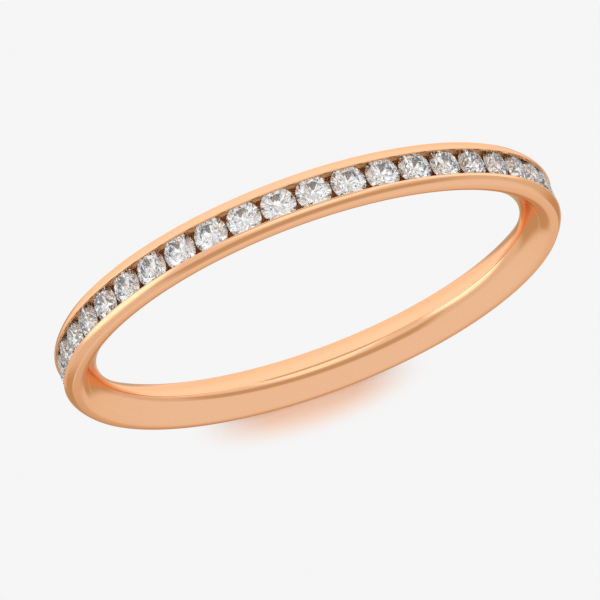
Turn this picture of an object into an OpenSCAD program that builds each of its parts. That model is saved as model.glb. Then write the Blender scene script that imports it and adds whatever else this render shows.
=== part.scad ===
// Channel-set eternity wedding band, standing on its rim.
// The bore runs along Y, its centre is the origin, and +Z goes through the middle of the first stone.

/* [Band] */
// Diameter of the finger bore at its narrowest place
bore_d = 17.3; // [14:0.1:20]
// Width of the true cylinder at the middle of the bore
land_w = 0.2; // [0.1:0.05:0.6]
// Metal between the bore and the floor of the stone channel
floor_t = 0.6; // [0.4:0.05:1.2]
// Width of each rail beside the channel, from its lip to the side of the band
rail_w = 0.405; // [0.3:0.005:0.8]
// Width of the flat top of each rail, beside the stones
rail_top_w = 0.15; // [0.05:0.01:0.25]
// Height of the rounded shoulder on the outside of each rail
shoulder_h = 0.23; // [0.15:0.01:0.45]
// Height of the flat ring on each side of the band
side_flat_h = 0.42; // [0.1:0.01:0.5]
// Shape of the shoulder: 1 is a bevel, 2 an ellipse
shoulder_power = 1.4; // [1.1:0.1:3]
// Where the comfort curve aims as it leaves the side: 0 is the cylinder's edge, 1 is straight in
comfort_share = 0.34; // [0.1:0.01:0.8]

/* [Stones] */
// Girdle diameter of each stone
stone_d = 1.34; // [1.1:0.01:1.7]
// Least gap between neighbouring girdles
stone_gap = 0.03; // [0.01:0.01:0.2]
// How far each rail's lip reaches over the stones
lip_grip = 0.16; // [0.1:0.01:0.2]
// Depth of the stones' tables below the top of the rails
table_drop = 0.04; // [0:0.01:0.15]
// Clearance round the girdle inside the grooves
groove_clear = 0.01; // [0.005:0.005:0.05]
// Space between the stones' points and the channel floor
culet_clear = 0.02; // [0.01:0.01:0.2]

/* [Brilliant cut] */
// Table width as a share of the girdle diameter
table_share = 0.57; // [0.5:0.01:0.65]
// Slope of the main crown facets
crown_angle = 34.5; // [30:0.5:38]
// Slope of the main pavilion facets
pavilion_angle = 40.9; // [38:0.1:43]
// Thickness of the girdle
girdle_t = 0.04; // [0.02:0.01:0.08]
// Length of the star facets as a share of the way from the table to the girdle
star_share = 0.5; // [0.4:0.05:0.6]
// Length of the lower girdle facets as a share of the way from the girdle to the point
lower_share = 0.77; // [0.7:0.01:0.85]

/* [Hidden] */
$fn = 180;
curve_steps = 8;
mains = 8;
girdle_sides = 2 * mains;
half_facet = 360 / girdle_sides;

// The stone, measured from the lower edge of its girdle.
stone_r = stone_d / 2;
table_r = stone_r * table_share;
crown_h = (stone_r - table_r) * tan(crown_angle);
pavilion_h = stone_r * tan(pavilion_angle);
table_flat_r = table_r * cos(half_facet);
star_r = table_flat_r + star_share * (stone_r - table_flat_r);
lower_r = stone_r * (1 - lower_share);

// Radii of the band, from the bore outwards.
bore_r = bore_d / 2;
channel_floor_r = bore_r + floor_t;
girdle_low_r = channel_floor_r + culet_clear + pavilion_h;
girdle_top_r = girdle_low_r + girdle_t;
rim_r = girdle_top_r + crown_h + table_drop;
side_top_r = rim_r - shoulder_h;
side_low_r = side_top_r - side_flat_h;

// Half widths of the band, from its middle plane.
lip_x = stone_r - lip_grip;
groove_x = stone_r + groove_clear;
top_x = lip_x + rail_top_w;
side_x = lip_x + rail_w;
comfort_x = land_w / 2 + comfort_share * (side_x - land_w / 2);

// The row of stones goes all round, with as many as fit.
stone_step_min = 2 * atan((stone_r + stone_gap / 2) / girdle_low_r);
stone_count = floor(360 / stone_step_min);
stone_step = 360 / stone_count;

function stone_name(i) = str("stone_", i < 10 ? "0" : "", i);

// A quarter of a superellipse from [0, h] to [w, 0].
function quarter(w, h, power) = [
    for (i = [0:curve_steps])
        let (a = 90 * i / curve_steps)
        [w * pow(sin(a), 2 / power), h * pow(cos(a), 2 / power)]
];

// A parabola from one point to another, which leaves and arrives in line with the aim.
function parabola(from, aim, to) = [
    for (i = [0:curve_steps])
        let (t = i / curve_steps)
        pow(1 - t, 2) * from + 2 * t * (1 - t) * aim + pow(t, 2) * to
];

// One side of the band's section, as [radius, half width], from the lip's top to the bore.
function side_outline() = concat(
    [[rim_r, lip_x]],
    [for (p = quarter(side_x - top_x, shoulder_h, shoulder_power)) [side_top_r + p[1], top_x + p[0]]],
    parabola([side_low_r, side_x], [bore_r, comfort_x], [bore_r, land_w / 2])
);

// One wall of the stone channel: lip, groove with its bearing, and floor.
function channel_wall() = [
    [rim_r + table_drop + lip_grip, lip_x],
    [girdle_top_r + (groove_x - lip_x) * tan(crown_angle), lip_x],
    [girdle_top_r, groove_x],
    [girdle_low_r + groove_clear * tan(pavilion_angle), groove_x],
    [girdle_low_r - lip_grip * tan(pavilion_angle), lip_x],
    [channel_floor_r, lip_x]
];

// A closed outline, made of one side and its mirror image.
module both_sides(side) {
    last = len(side) - 1;
    polygon(concat(side, [for (i = [last:-1:0]) [side[i][0], -side[i][1]]]));
}

// The turned surface starts and ends between two stones.
module band() {
    color([0.94, 0.72, 0.57])
        rotate([90, stone_step / 2, 0])
            rotate_extrude()
                difference() {
                    both_sides(side_outline());
                    both_sides(channel_wall());
                }
}

// Height of the main crown facets at a distance from the stone's axis, square to the facet.
function crown_z(x) = girdle_t + (stone_r - x) * tan(crown_angle);

// Height of the main pavilion facets at such a distance.
function pavilion_z(x) = -(stone_r - x) * tan(pavilion_angle);

function ring(sides, r, z, turn = 0) = [
    for (i = [0:sides - 1])
        let (a = 360 * i / sides + turn)
        [r * cos(a), r * sin(a), z]
];

// A round brilliant with its table up and two girdle corners towards the rails.
module brilliant() {
    // The first point of each ring of corners.
    star = mains;
    upper = star + mains;
    lower = upper + girdle_sides;
    tip = lower + girdle_sides;
    culet = tip + mains;
    points = concat(
        ring(mains, table_r, girdle_t + crown_h),
        ring(mains, star_r, crown_z(star_r * cos(half_facet)), half_facet),
        ring(girdle_sides, stone_r, girdle_t),
        ring(girdle_sides, stone_r, 0),
        ring(mains, lower_r, pavilion_z(lower_r * cos(half_facet)), half_facet),
        [[0, 0, -pavilion_h]]
    );
    table = [for (i = [mains - 1:-1:0]) i];
    mains_and_stars = [
        for (i = [0:mains - 1])
            let (next = (i + 1) % mains, last = (i + mains - 1) % mains, g = 2 * i)
            each [
                [i, next, star + i],
                [i, star + i, upper + g, star + last],
                [culet, tip + last, lower + g, tip + i]
            ]
    ];
    girdle_facets = [
        for (g = [0:girdle_sides - 1])
            let (next = (g + 1) % girdle_sides, i = floor(g / 2))
            each [
                [star + i, upper + next, upper + g],
                [upper + g, upper + next, lower + next, lower + g],
                [tip + i, lower + g, lower + next]
            ]
    ];
    polyhedron(points, concat([table], mains_and_stars, girdle_facets));
}

module stone(i) {
    color([0.93, 0.95, 0.98])
        rotate([0, (i - 1) * stone_step, 0])
            translate([0, 0, girdle_low_r])
                rotate([0, 0, 90])
                    brilliant();
}

band();
for (i = [1:stone_count])
    stone(i);
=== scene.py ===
"""A rose gold wedding band with round brilliants in a channel, standing on a pale studio floor."""

from math import cos, hypot, pi, radians, sin
from random import Random

import bmesh
import bpy
from mathutils import Matrix, Vector


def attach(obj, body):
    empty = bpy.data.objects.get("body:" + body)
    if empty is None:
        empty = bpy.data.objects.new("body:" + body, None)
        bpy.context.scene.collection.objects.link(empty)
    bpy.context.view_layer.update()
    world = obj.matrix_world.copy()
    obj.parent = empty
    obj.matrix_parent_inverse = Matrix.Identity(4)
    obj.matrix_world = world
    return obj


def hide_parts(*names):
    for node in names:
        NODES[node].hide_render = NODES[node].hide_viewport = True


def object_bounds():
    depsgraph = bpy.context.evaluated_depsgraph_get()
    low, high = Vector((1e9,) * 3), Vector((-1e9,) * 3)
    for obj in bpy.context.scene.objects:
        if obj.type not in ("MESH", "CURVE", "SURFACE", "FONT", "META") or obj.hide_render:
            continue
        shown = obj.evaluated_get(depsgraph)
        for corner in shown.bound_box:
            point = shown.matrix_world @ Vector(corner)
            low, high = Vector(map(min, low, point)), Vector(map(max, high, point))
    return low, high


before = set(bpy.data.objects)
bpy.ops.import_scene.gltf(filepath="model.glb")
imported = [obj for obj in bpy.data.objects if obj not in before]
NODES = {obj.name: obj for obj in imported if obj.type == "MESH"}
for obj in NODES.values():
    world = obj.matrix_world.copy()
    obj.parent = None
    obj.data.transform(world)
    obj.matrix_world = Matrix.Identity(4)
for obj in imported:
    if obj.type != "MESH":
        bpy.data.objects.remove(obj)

MM = 0.001
CAD_LOW, CAD_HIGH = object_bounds()


# ---------------------------------------------------------------- sizes, read off the frame

STONES = sorted(name for name in NODES if name.startswith("stone_"))
TOUCH = 0.001 * MM  # two CAD points this close count as level


class Section:
    """The band's sizes, from its CAD node: radii from the bore's axis and half widths along it."""

    def __init__(self, node):
        points = [(hypot(v.co.x, v.co.z), abs(v.co.y)) for v in node.data.vertices]
        self.rim_r = max(r for r, x in points)
        self.bore_r = min(r for r, x in points)
        self.side_x = max(x for r, x in points)
        at_side = [r for r, x in points if x > self.side_x - TOUCH]
        self.side_top_r, self.side_low_r = max(at_side), min(at_side)
        self.lip_x = min(x for r, x in points if r > self.rim_r - TOUCH)
        self.floor_r = min(r for r, x in points if abs(x - self.lip_x) < TOUCH)
        self.points = points

    def half_width_at(self, radius):
        """Half the width of the stones' groove at that radius."""
        return min(x for r, x in self.points if abs(r - radius) < TOUCH)


class Cut:
    """The brilliant's sizes, from the first stone, which stands table up on +Z."""

    def __init__(self, node):
        points = [v.co for v in node.data.vertices]
        self.girdle_r = max(p.y for p in points)
        at_girdle = [p.z for p in points if p.y > self.girdle_r - TOUCH]
        self.seat_r, girdle_top = min(at_girdle), max(at_girdle)
        table_z = max(p.z for p in points)
        self.girdle_t = girdle_top - self.seat_r
        self.table_r = max(p.y for p in points if p.z > table_z - TOUCH)
        self.table_z = table_z - self.seat_r
        self.culet_z = min(p.z for p in points) - self.seat_r
        self.crown_slope = (self.table_z - self.girdle_t) / (self.girdle_r - self.table_r)
        self.pavilion_slope = -self.culet_z / self.girdle_r


BAND = Section(NODES["band"])
CUT = Cut(NODES["stone_01"])
GROOVE_X = BAND.half_width_at(CUT.seat_r + CUT.girdle_t)


# ---------------------------------------------------------------- shader and geometry node helpers

class Value:
    """A number in a shader. Arithmetic on it adds Math nodes."""

    def __init__(self, tree, socket):
        self.tree, self.socket = tree, socket

    def math(self, operation, *others, clamp=False):
        return self.tree.node("ShaderNodeMath", {"operation": operation, "use_clamp": clamp},
                              self, *others)

    def __add__(self, other):
        return self.math("ADD", other)

    def __sub__(self, other):
        return self.math("SUBTRACT", other)

    def __mul__(self, other):
        return self.math("MULTIPLY", other)

    def __truediv__(self, other):
        return self.math("DIVIDE", other)

    def __rsub__(self, other):
        return self.tree.node("ShaderNodeMath", {"operation": "SUBTRACT"}, other, self)

    __radd__ = __add__
    __rmul__ = __mul__


class Tree:
    """A shader or world tree that is written as expressions."""

    def __init__(self, owner):
        owner.use_nodes = True
        self.nodes, self.links = owner.node_tree.nodes, owner.node_tree.links
        self.nodes.clear()

    def node(self, kind, settings, *values, output=0, **named):
        made = self.nodes.new(kind)
        for name, value in settings.items():
            setattr(made, name, value)
        pairs = list(zip(made.inputs, values))
        pairs += [(made.inputs[name.replace("_", " ")], value) for name, value in named.items()]
        for socket, value in pairs:
            if isinstance(value, Value):
                self.links.new(value.socket, socket)
            elif value is not None:
                socket.default_value = value
        return Value(self, made.outputs[output]) if made.outputs else None

    def place(self):
        """X, Y and Z of the point in the object's own frame."""
        where = self.node("ShaderNodeTexCoord", {}, output=3)
        split = self.node("ShaderNodeSeparateXYZ", {}, where)
        return where, [Value(self, split.socket.node.outputs[i]) for i in range(3)]

    def vector(self, x, y, z):
        return self.node("ShaderNodeCombineXYZ", {}, x, y, z)

    def step(self, value, low, high):
        """0 below low and 1 above high, with a soft step between them."""
        settings = {"interpolation_type": "SMOOTHSTEP"}
        return self.node("ShaderNodeMapRange", settings, value, low, high, 0.0, 1.0)

    def noise(self, vector, scale, detail=2.0, roughness=0.5):
        return self.node("ShaderNodeTexNoise", {}, Vector=vector, Scale=scale, Detail=detail,
                         Roughness=roughness)

    def mix(self, factor, a, b):
        """The colour between a and b."""
        made = self.nodes.new("ShaderNodeMix")
        made.data_type = "RGBA"
        for index, value in ((0, factor), (6, a), (7, b)):
            if isinstance(value, Value):
                self.links.new(value.socket, made.inputs[index])
            else:
                made.inputs[index].default_value = value
        return Value(self, made.outputs[2])

    def finish(self, shader, kind="ShaderNodeOutputMaterial"):
        self.node(kind, {}, shader)


def rgb(red, green, blue):
    return (red, green, blue, 1.0)


# ---------------------------------------------------------------- materials

BACKDROP = rgb(0.92, 0.92, 0.92)
# Painted glow: the warm colour of the paper round the contact stands in for the light that the gold
# throws on the floor.
PAINTED_GLOW = rgb(1.0, 0.74, 0.60)
GLOW_SHARE = 0.95
CONTACT_HALF = 6.0 * MM
GLOW_HALF_X = 5.2 * MM
GLOW_HALF_Y = 1.6 * MM
GLOW_FORWARD = 0.8 * MM
GOLD = rgb(0.945, 0.545, 0.325)
GOLD_WARM = rgb(0.94, 0.52, 0.295)
GOLD_EDGE = rgb(0.92, 0.70, 0.55)
FACET_DARK = rgb(0.80, 0.81, 0.83)
FACET_LIGHT = rgb(1.0, 1.0, 1.0)
GIRDLE_GREY = rgb(0.86, 0.86, 0.88)
CHANNEL_SATIN = rgb(0.95, 0.55, 0.26)


def rose_gold():
    """Polished rose gold, with the polishing wheel's lines round the band and a satin channel."""
    material = bpy.data.materials.new("rose_gold")
    tree = Tree(material)
    where, (x, y, z) = tree.place()
    radius = (x * x + z * z).math("SQRT")
    turn = z.math("ARCTAN2", x)

    half_width = y.math("ABSOLUTE")
    channel = tree.step(half_width, GROOVE_X + 0.04 * MM, GROOVE_X + 0.01 * MM)
    channel = channel * tree.step(radius, BAND.floor_r - 0.1 * MM, BAND.floor_r)
    channel = channel * tree.step(radius, BAND.rim_r - 0.04 * MM, BAND.rim_r - 0.10 * MM)

    lines = tree.vector(turn * 0.6, radius * 9000, y * 9000)
    lines = tree.noise(lines, 1.0, 4.0, 0.65)
    clouds = tree.noise(where, 260.0, 3.0)
    rub = tree.noise(where, 900.0, 2.0)

    color = tree.mix(clouds * 0.5, GOLD, GOLD_WARM)
    color = tree.mix(channel, color, CHANNEL_SATIN)
    roughness = 0.07 + clouds * 0.05 + rub * lines * 0.04 + channel * 0.35
    bump = tree.node("ShaderNodeBump", {}, Strength=0.03, Distance=0.002 * MM,
                     Height=lines + rub * 0.3)
    tree.finish(tree.node("ShaderNodeBsdfPrincipled", {}, Base_Color=color,
                          Metallic=1.0 - channel * 0.75, Roughness=roughness,
                          Specular_Tint=GOLD_EDGE, Normal=bump))
    return material


def diamond():
    """Cut diamond: a clear crown and a frosted girdle. The facets below are plain mirrors, each
    its own grey, which stand in for the light that a diamond turns back inside."""
    material = bpy.data.materials.new("cut_diamond")
    tree = Tree(material)
    where, axes = tree.place()
    tint = tree.node("ShaderNodeAttribute", {"attribute_name": "tint"}, output=2)
    frost = tree.node("ShaderNodeAttribute", {"attribute_name": "frost"}, output=2)
    mirror = tree.node("ShaderNodeAttribute", {"attribute_name": "mirror"}, output=2)
    facet = tree.node("ShaderNodeAttribute", {"attribute_name": "facet"}, output=2)
    color = tree.mix(tint, rgb(1.0, 1.0, 1.0), rgb(0.985, 0.985, 0.975))
    color = tree.mix(mirror, color, tree.mix(facet, FACET_DARK, FACET_LIGHT))
    color = tree.mix(frost, color, GIRDLE_GREY)
    polish = tree.noise(where, 3000.0, 2.0)
    tree.finish(tree.node("ShaderNodeBsdfPrincipled", {}, Base_Color=color, IOR=2.42,
                          Metallic=mirror, Roughness=frost * 0.3 + polish * 0.01,
                          Transmission_Weight=1.0))
    return material


def floor_white():
    """A white sweep, lit evenly from behind."""
    material = bpy.data.materials.new("studio_floor")
    tree = Tree(material)
    tree.finish(tree.node("ShaderNodeEmission", {}, BACKDROP, 1.0))
    return material


def card_with_painted_glow():
    """The floor round the contact: an ellipse of paper, which takes the band's real shadow and whose
    warm colour is a painted glow, in a floor that is lit evenly."""
    material = bpy.data.materials.new("floor_at_contact")
    tree = Tree(material)
    where, (x, y, z) = tree.place()
    along, across = x / GLOW_HALF_X, (y + GLOW_FORWARD) / GLOW_HALF_Y
    # Near the contact the floor turns to diffuse paper in the painted warm glow colour; its shading
    # there is the band's real shadow.
    near = tree.step((along * along + across * across).math("SQRT"), 1.0, 0.30) * GLOW_SHARE
    light = tree.node("ShaderNodeEmission", {}, BACKDROP, 1.0)
    paper = tree.node("ShaderNodeBsdfDiffuse", {}, PAINTED_GLOW)
    tree.finish(tree.node("ShaderNodeMixShader", {}, near, light, paper))
    return material


# ---------------------------------------------------------------- geometry node helpers

def geometry_tree(name, inputs):
    """A geometry node tree with a Geometry input and output, and these named inputs."""
    tree = bpy.data.node_groups.new(name, "GeometryNodeTree")
    tree.interface.new_socket("Geometry", in_out="INPUT", socket_type="NodeSocketGeometry")
    for label, kind in inputs.items():
        tree.interface.new_socket(label, in_out="INPUT", socket_type="NodeSocket" + kind)
    tree.interface.new_socket("Geometry", in_out="OUTPUT", socket_type="NodeSocketGeometry")
    return tree, tree.nodes.new("NodeGroupInput"), tree.nodes.new("NodeGroupOutput")


def add(tree, kind, settings=None, **inputs):
    """One geometry node. An input is a socket to link or a value, named by its identifier."""
    made = tree.nodes.new(kind)
    for name, value in (settings or {}).items():
        setattr(made, name, value)
    sockets = {socket.identifier.replace(" ", "_"): socket for socket in made.inputs}
    for name, value in inputs.items():
        if isinstance(value, bpy.types.NodeSocket):
            tree.links.new(value, sockets[name])
        else:
            sockets[name].default_value = value
    return made


def grow(name, start, tree, values):
    """A plain mesh object: what the tree makes of the start mesh with these input values."""
    seed = bpy.data.objects.new(name + "_start", start)
    bpy.context.scene.collection.objects.link(seed)
    modifier = seed.modifiers.new("grow", "NODES")
    modifier.node_group = tree
    for item in tree.interface.items_tree:
        if item.in_out == "INPUT" and item.name in values:
            modifier[item.identifier] = values[item.name]
    grown = seed.evaluated_get(bpy.context.evaluated_depsgraph_get())
    mesh = bpy.data.meshes.new_from_object(grown)
    modifier.node_group = None
    seed.modifiers.remove(modifier)
    bpy.data.objects.remove(seed)
    made = bpy.data.objects.new(name, mesh)
    bpy.context.scene.collection.objects.link(made)
    return made


# ---------------------------------------------------------------- the band

SHOULDER_AIM = 0.40  # where the shoulder aims as it leaves the rim, as a share of the rail's width
COMFORT_AIM = 0.34  # where the comfort curve aims as it leaves the side, as a share of the half width
EDGE_ROUND = 0.035 * MM
FACE_ROUND = 0.14 * MM
CURVE_STEPS = 28
LIP_STEPS = 4
OUTER_EDGE_STEPS = 6
INNER_EDGE_STEPS = 10
LIP_RADIUS = 0.03 * MM
TURN_STEPS = 480
SHARP_FROM = radians(28)


def quarter(width, height, power, steps=CURVE_STEPS):
    """A quarter of a superellipse, from (0, height) to (width, 0)."""
    angles = [pi / 2 * i / steps for i in range(steps + 1)]
    return [(width * sin(a) ** (2 / power), height * cos(a) ** (2 / power)) for a in angles]


def parabola(start, aim, end, steps=CURVE_STEPS):
    """A parabola from start to end, which leaves and arrives in line with the aim."""
    points = [(1 - t) ** 2 * Vector(start) + 2 * t * (1 - t) * Vector(aim) + t ** 2 * Vector(end)
              for t in (i / steps for i in range(steps + 1))]
    return [tuple(point) for point in points]


def towards(point, aim, distance):
    """The place that far from the point on the way to the aim."""
    way = Vector(aim) - Vector(point)
    return tuple(Vector(point) + way.normalized() * distance)


def half_section():
    """One side of the band's section as (radius, half width), from the channel floor to the bore."""
    b, c = BAND, CUT
    grip = c.girdle_r - b.lip_x
    clear = GROOVE_X - c.girdle_r
    girdle_top = c.seat_r + c.girdle_t
    channel = [
        (b.floor_r, b.lip_x),
        (c.seat_r - grip * c.pavilion_slope, b.lip_x),
        (c.seat_r + clear * c.pavilion_slope, GROOVE_X),
        (girdle_top, GROOVE_X),
        (girdle_top + (grip + clear) * c.crown_slope, b.lip_x),
    ]
    lip = [(b.rim_r - LIP_RADIUS + h, b.lip_x + LIP_RADIUS - w)
           for h, w in quarter(LIP_RADIUS, LIP_RADIUS, 2, LIP_STEPS)]
    rim, edge = (b.rim_r, lip[-1][1]), (b.side_top_r, b.side_x)
    shoulder_aim = (b.rim_r, b.lip_x + SHOULDER_AIM * (b.side_x - b.lip_x))
    before = towards(edge, shoulder_aim, EDGE_ROUND)
    shoulder = parabola(rim, shoulder_aim, before)
    face = (b.side_low_r, b.side_x)
    outer_edge = parabola(before, edge, towards(edge, face, EDGE_ROUND), OUTER_EDGE_STEPS)
    comfort_aim = (b.bore_r, COMFORT_AIM * b.side_x)
    after = towards(face, comfort_aim, FACE_ROUND)
    inner_edge = parabola(towards(face, edge, FACE_ROUND), face, after, INNER_EDGE_STEPS)
    comfort = parabola(after, comfort_aim, (b.bore_r, 0))
    return channel + lip + shoulder[1:] + outer_edge[1:] + inner_edge + comfort[1:]


def section_mesh():
    """The band's whole section as a closed line, drawn with its radius along X."""
    side = half_section()
    outline = side + [(r, -x) for r, x in reversed(side[:-1])]
    mesh = bpy.data.meshes.new("band_section")
    count = len(outline)
    mesh.from_pydata([(r - BAND.bore_r, x, 0) for r, x in outline],
                     [(i, (i + 1) % count) for i in range(count)], [])
    return mesh


def turned_band(material):
    """The band: its section swept round the bore."""
    tree, given, out = geometry_tree("sweep_section", {
        "Bore radius": "Float", "Steps round": "Int", "Metal": "Material"})
    profile = add(tree, "GeometryNodeMeshToCurve", Mesh=given.outputs["Geometry"])
    path = add(tree, "GeometryNodeCurvePrimitiveCircle", {"mode": "RADIUS"},
               Resolution=given.outputs["Steps round"], Radius=given.outputs["Bore radius"])
    sweep = add(tree, "GeometryNodeCurveToMesh", Curve=path.outputs["Curve"],
                Profile_Curve=profile.outputs["Curve"])
    stand = add(tree, "GeometryNodeTransform", Geometry=sweep.outputs["Mesh"],
                Rotation=(pi / 2, 0, 0))
    whole = add(tree, "GeometryNodeRealizeInstances", Geometry=stand.outputs["Geometry"])
    metal = add(tree, "GeometryNodeSetMaterial", Geometry=whole.outputs["Geometry"],
                Material=given.outputs["Metal"])
    tree.links.new(metal.outputs["Geometry"], out.inputs["Geometry"])
    band = grow("band_polished", section_mesh(), tree, {
        "Bore radius": BAND.bore_r, "Steps round": TURN_STEPS, "Metal": material})
    band.data.shade_smooth()
    band.data.set_sharp_from_angle(angle=SHARP_FROM)
    return band


# ---------------------------------------------------------------- the stones

MAINS = 8
EIGHTH = 2 * pi / MAINS
STAR_SHARE = 0.5
LOWER_SHARE = 0.77
GIRDLE_SIDES = 48
MOST_LEAN = radians(0.5)
GIRDLE_FACING = 0.05  # a face whose normal is this level belongs to the girdle
WELD = 1e-9
FACET_SEED, SPIN_SEED, TINT_SEED = 5, 7, 11


def brilliant():
    """A round brilliant, cut facet by facet from a round blank, with its table up."""
    c = CUT
    half, quarter_turn = EIGHTH / 2, EIGHTH / 4
    star_r = c.table_r * cos(half)
    star_r += STAR_SHARE * (c.girdle_r - star_r)
    star_z = c.girdle_t + (c.girdle_r - star_r * cos(half)) * c.crown_slope
    tip_r = c.girdle_r * (1 - LOWER_SHARE)
    tip_z = -(c.girdle_r - tip_r * cos(half)) * c.pavilion_slope
    shrink = cos(quarter_turn)
    upper_slope = (star_z - c.girdle_t) / ((c.girdle_r - star_r) * shrink)
    lower_slope = -tip_z / ((c.girdle_r - tip_r) * shrink)
    star_slope = (c.table_z - star_z) / (star_r - c.table_r * cos(half))

    blank = bmesh.new()
    height = c.table_z - c.culet_z
    bmesh.ops.create_cone(blank, cap_ends=True, segments=GIRDLE_SIDES, radius1=c.girdle_r,
                          radius2=c.girdle_r, depth=height)
    bmesh.ops.translate(blank, vec=(0, 0, c.culet_z + height / 2), verts=blank.verts)

    def grind(azimuth, slope, at_r, at_z, up):
        """Cuts away what lies outside one facet. Its plane drops by slope from (at_r, at_z)."""
        outward = Vector((slope * cos(azimuth), slope * sin(azimuth), up)).normalized()
        point = Vector((at_r * cos(azimuth), at_r * sin(azimuth), at_z))
        cut = bmesh.ops.bisect_plane(blank, geom=blank.verts[:] + blank.edges[:] + blank.faces[:],
                                     plane_co=point, plane_no=outward, clear_outer=True,
                                     dist=WELD)
        edges = [e for e in cut["geom_cut"] if isinstance(e, bmesh.types.BMEdge)]
        bmesh.ops.edgeloop_fill(blank, edges=[e for e in edges if e.is_boundary])

    for i in range(MAINS):
        main = i * EIGHTH
        grind(main, c.crown_slope, c.girdle_r, c.girdle_t, 1)
        grind(main, c.pavilion_slope, c.girdle_r, 0, -1)
        grind(main + half, star_slope, star_r, star_z, 1)
        for azimuth in (main - quarter_turn, main + quarter_turn):
            grind(azimuth, upper_slope, c.girdle_r * shrink, c.girdle_t, 1)
            grind(azimuth, lower_slope, c.girdle_r * shrink, 0, -1)
    bmesh.ops.recalc_face_normals(blank, faces=blank.faces[:])

    frost, mirror, facet = [blank.faces.layers.float.new(name)
                            for name in ("frost", "mirror", "facet")]
    chance = Random(FACET_SEED)
    for face in blank.faces:
        face[frost] = 1.0 if abs(face.normal.z) < GIRDLE_FACING else 0.0
        face[mirror] = 1.0 if face.normal.z < -GIRDLE_FACING else 0.0
        face[facet] = chance.random()
    mesh = bpy.data.meshes.new("brilliant")
    blank.to_mesh(mesh)
    blank.free()
    return mesh


def seat_tree():
    """Turns a stone about itself, leans it a little, lifts it to its seat and swings it into place."""
    tree, given, out = geometry_tree("seat_stone", {
        "Station": "Float", "Seat radius": "Float", "Greatest lean": "Float", "Number": "Int",
        "Gem": "Material"})
    lean = given.outputs["Greatest lean"]
    below = add(tree, "ShaderNodeMath", {"operation": "MULTIPLY"}, Value=lean, Value_001=-1.0)
    low = add(tree, "ShaderNodeCombineXYZ", X=below.outputs[0], Y=below.outputs[0], Z=0.0)
    high = add(tree, "ShaderNodeCombineXYZ", X=lean, Y=lean, Z=2 * pi)
    spin = add(tree, "FunctionNodeRandomValue", {"data_type": "FLOAT_VECTOR"},
               Min=low.outputs[0], Max=high.outputs[0], ID=given.outputs["Number"], Seed=SPIN_SEED)
    tint = add(tree, "FunctionNodeRandomValue", {"data_type": "FLOAT"},
               ID=given.outputs["Number"], Seed=TINT_SEED)
    named = add(tree, "GeometryNodeStoreNamedAttribute", {"data_type": "FLOAT", "domain": "POINT"},
                Geometry=given.outputs["Geometry"], Name="tint", Value=tint.outputs[1])
    lift = add(tree, "ShaderNodeCombineXYZ", Z=given.outputs["Seat radius"])
    seated = add(tree, "GeometryNodeTransform", Geometry=named.outputs["Geometry"],
                 Rotation=spin.outputs[0], Translation=lift.outputs[0])
    swing = add(tree, "ShaderNodeCombineXYZ", Y=given.outputs["Station"])
    placed = add(tree, "GeometryNodeTransform", Geometry=seated.outputs["Geometry"],
                 Rotation=swing.outputs[0])
    whole = add(tree, "GeometryNodeRealizeInstances", Geometry=placed.outputs["Geometry"])
    gem = add(tree, "GeometryNodeSetMaterial", Geometry=whole.outputs["Geometry"],
              Material=given.outputs["Gem"])
    tree.links.new(gem.outputs["Geometry"], out.inputs["Geometry"])
    return tree


def set_stones(material):
    """One cut stone for each CAD stone."""
    gem, tree = brilliant(), seat_tree()
    made = {}
    for number, name in enumerate(STONES):
        angle = number * 2 * pi / len(STONES)
        made[name] = grow(name + "_cut", gem, tree, {
            "Station": angle, "Seat radius": CUT.seat_r, "Greatest lean": MOST_LEAN,
            "Number": number, "Gem": material})
    return made


# ---------------------------------------------------------------- studio

FLOOR_HALF = 3.0
FLOOR_DROP = 0.02 * MM
CAMERA_DISTANCE = 23.63
CAMERA_LENS = 374.0
CAMERA_BACK = Vector((-0.1361, -0.3337, 0.9328))
CAMERA_UP = Vector((0.3105, 0.8798, 0.3600))
CAMERA_AIM = Vector((-0.0436, -0.0237, -0.0147))
HOOP_AXIS = Vector((0.154, -0.888, -0.433))
HOOP_INNER = radians(52), radians(58)
HOOP_OUTER = radians(80), radians(68)
HOOP_BROWN = rgb(0.60, 0.50, 0.36)
HOOP_FADE_LEFT, HOOP_FADE_RIGHT = 0.75, 0.55
PATCH_BACK = 0.3 * MM
# Brightness of the tent, and what each part of it adds.
TENT, BEHIND, OVERHEAD, LEFT, RIGHT = 0.89, 0.28, 0.46, 0.85, 0.50


def lay_sheet(name, low, high, z, material):
    """A level rectangle of floor between two corners."""
    mesh = bpy.data.meshes.new(name)
    mesh.from_pydata([(low[0], low[1], z), (high[0], low[1], z), (high[0], high[1], z),
                      (low[0], high[1], z)], [], [(0, 1, 2, 3)])
    mesh.materials.append(material)
    sheet = bpy.data.objects.new(name, mesh)
    bpy.context.scene.collection.objects.link(sheet)
    return sheet


def lay_floor():
    """The sweep, and a patch of paper round the contact, coloured with a painted warm glow. The gold
    mirrors neither of them.
    """
    sweep = lay_sheet("floor", (-FLOOR_HALF, -FLOOR_HALF), (FLOOR_HALF, FLOOR_HALF),
                      CAD_LOW.z - FLOOR_DROP, floor_white())
    sweep.visible_glossy = False
    patch = lay_sheet("floor_contact", (-CONTACT_HALF, -CONTACT_HALF), (CONTACT_HALF, PATCH_BACK),
                      CAD_LOW.z, card_with_painted_glow())
    patch.visible_glossy = False


def set_camera():
    back = CAMERA_BACK.normalized()
    right = CAMERA_UP.cross(back).normalized()
    up = back.cross(right)
    turn = Matrix((right, up, back)).transposed().to_4x4()
    place = (CAMERA_AIM + CAMERA_DISTANCE * back) * BAND.rim_r
    lens = bpy.data.cameras.new("camera")
    lens.lens = CAMERA_LENS
    lens.sensor_width = 36
    lens.clip_start = 0.01
    camera = bpy.data.objects.new("camera", lens)
    camera.matrix_world = Matrix.Translation(place) @ turn
    bpy.context.scene.collection.objects.link(camera)
    bpy.context.scene.camera = camera


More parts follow.
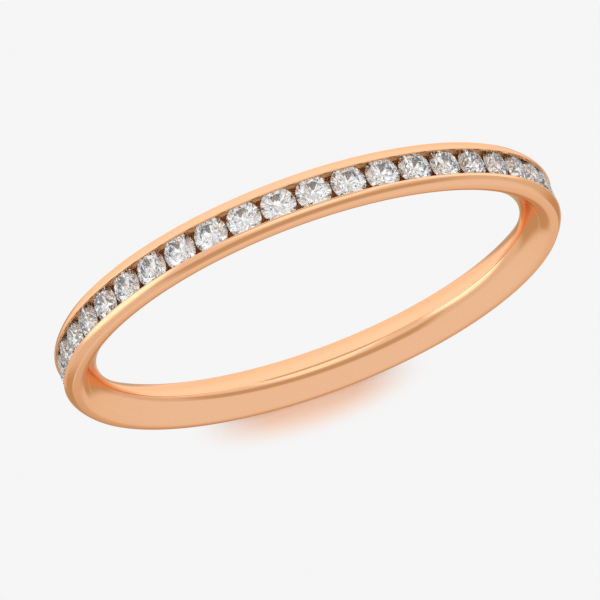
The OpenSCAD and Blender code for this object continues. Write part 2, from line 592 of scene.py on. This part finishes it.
def light_studio():
    """A light tent that only the ring mirrors: bright above and behind, a panel at each side, and
    brown in a hoop in front, in a gap above and below. The camera sees an even backdrop."""
    world = bpy.data.worlds.new("studio")
    bpy.context.scene.world = world
    tree = Tree(world)
    where = tree.node("ShaderNodeTexCoord", {}, output=0)
    split = tree.node("ShaderNodeSeparateXYZ", {}, where).socket.node
    x, y, z = [Value(tree, split.outputs[i]) for i in range(3)]

    # Each step runs between two heights of the direction's X, Y or Z, from -1 to 1.
    behind = tree.step(y, 0.25, 0.45) * tree.step(z, 0.93, 0.80)
    overhead = tree.step(z, 0.72, 0.90) * tree.step(y, 0.10, -0.02)
    gap = tree.step(y, -0.06, 0.04) * tree.step(y, 0.32, 0.20) * tree.step(z, 0.80, 0.90)
    left = tree.step(x, -0.80, -0.93) * tree.step(y, 0.30, 0.10)
    right = tree.step(x, 0.38, 0.50) * tree.step(z, -0.45, -0.20)
    right = right * tree.step(y, -0.15, -0.07) * tree.step(y, 0.30, 0.17)
    light = TENT + behind * BEHIND + overhead * OVERHEAD + left * LEFT + right * RIGHT

    ax, ay, az = HOOP_AXIS.normalized()
    angle = (x * ax + y * ay + z * az).math("ARCCOSINE")
    hoop = tree.step(angle, *HOOP_INNER) * tree.step(angle, *HOOP_OUTER)
    low_left = tree.step(x, -0.45, -0.65) * tree.step(z, 0.30, 0.05)
    low_right = tree.step(x, 0.60, 0.80) * tree.step(z, 0.35, 0.05)
    hoop = hoop * (1.0 - low_left * HOOP_FADE_LEFT) * (1.0 - low_right * HOOP_FADE_RIGHT)
    below = tree.step(z, -0.925, -0.955)
    below = below.math("MAXIMUM", tree.step(z, -0.75, -0.88) * tree.step(y, 0.20, 0.40))
    dark = hoop.math("MAXIMUM", gap).math("MAXIMUM", below)
    color = tree.mix(dark, tree.vector(light, light, light), HOOP_BROWN)
    seen = tree.node("ShaderNodeLightPath", {}, output=0)
    color = tree.mix(seen, color, BACKDROP)
    tree.finish(tree.node("ShaderNodeBackground", {}, color, 1.0), "ShaderNodeOutputWorld")


def set_render():
    scene = bpy.context.scene
    scene.view_settings.view_transform = "Standard"
    scene.cycles.max_bounces = 24
    scene.cycles.transmission_bounces = 20
    scene.cycles.glossy_bounces = 12
    scene.cycles.diffuse_bounces = 4


gold, gem = rose_gold(), diamond()
band = turned_band(gold)
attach(band, "root")
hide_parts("band")
for name, stone in set_stones(gem).items():
    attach(stone, "root")
    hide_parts(name)

set_camera()
lay_floor()
light_studio()
set_render()
